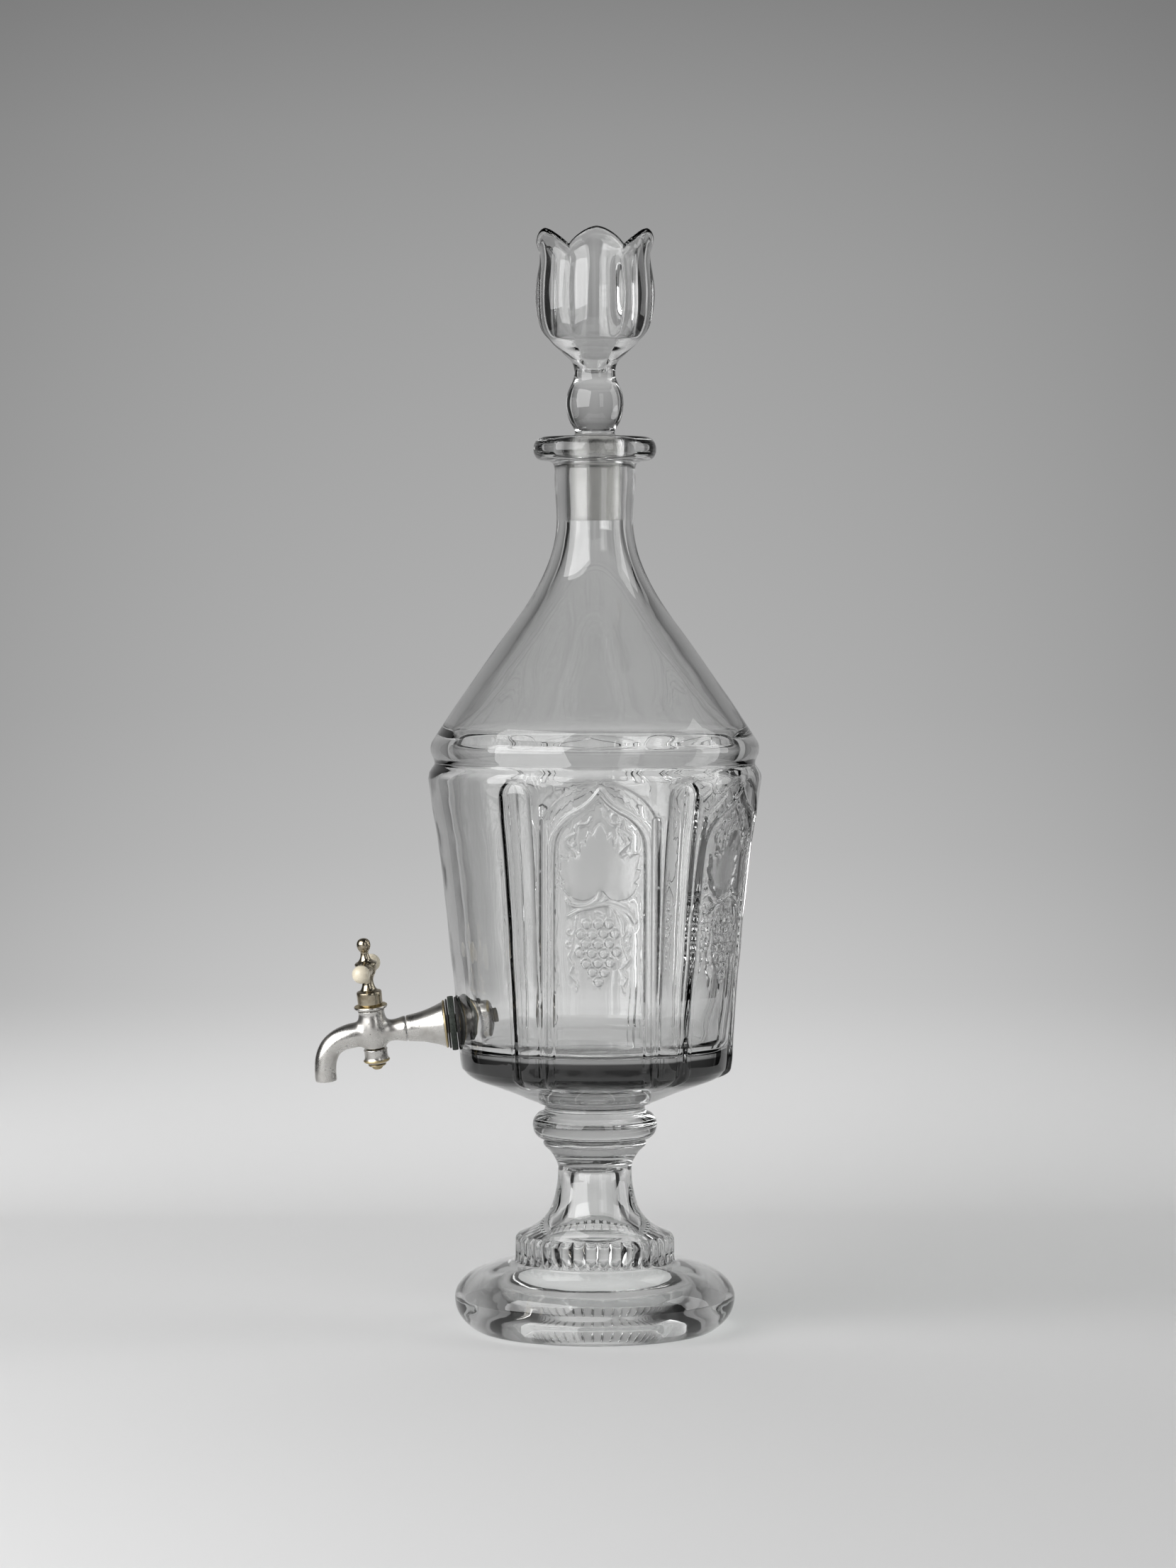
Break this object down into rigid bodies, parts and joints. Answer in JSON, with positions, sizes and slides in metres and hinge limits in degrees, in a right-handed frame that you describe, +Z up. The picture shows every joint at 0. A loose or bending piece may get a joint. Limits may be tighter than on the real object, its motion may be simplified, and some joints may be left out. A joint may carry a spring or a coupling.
{
  "type": "wine urn",
  "caption": "Footed pressed-glass wine urn with arcaded walls, a tulip-shaped stopper and a silver-plated plug cock tap with ivory knobs.",
  "frame": {"origin": "on the table under the middle of the urn's and tap's overall footprint", "axes": "+Z up along the urn, the front panel faces -Y, the tap stands out towards -X and the urn's own axis stands 27.8 mm towards +X from the origin"},
  "size_m": [0.2166, 0.1612, 0.533],
  "materials": {
    "clear_glass": "fire-polished clear soda-lime glass",
    "silver_plate": "worn silver plate with brass at its edges",
    "tarnished_plate": "tarnished silver plate over brass",
    "ivory": "turned and polished, yellowed with age",
    "brass": "aged, dull",
    "old_rubber": "hardened and matt",
    "black_leather": "pressed flat, dull"
  },
  "bodies": {
    "urn": {"pedestal": "clear_glass", "joining_wafer": "clear_glass", "urn_body": "clear_glass", "tap_body": "silver_plate", "inlet_flare": "silver_plate", "threaded_shank": "brass", "flare_washer": "black_leather", "packing_gasket": "old_rubber", "seating_washer": "black_leather", "inner_washer": "black_leather", "inner_nut": "silver_plate"},
    "stopper": {"stopper": "clear_glass"},
    "key": {"tap_key": "tarnished_plate", "cross_pin": "brass", "front_knob": "ivory", "rear_knob": "ivory", "bottom_cap": "silver_plate", "key_washer": "brass", "key_screw": "brass"}
  },
  "joints": [
    {"name": "stopper_lift", "type": "slide", "parent": "urn", "child": "stopper", "axis": [0, 0, 1], "range_m": [0, 0.045]},
    {"name": "key_turn", "type": "hinge", "parent": "urn", "child": "key", "pos_m": [-0.07936, 0, 0.14464], "axis": [-0.1089, -0.1219, 0.9866], "continuous": true}
  ]
}
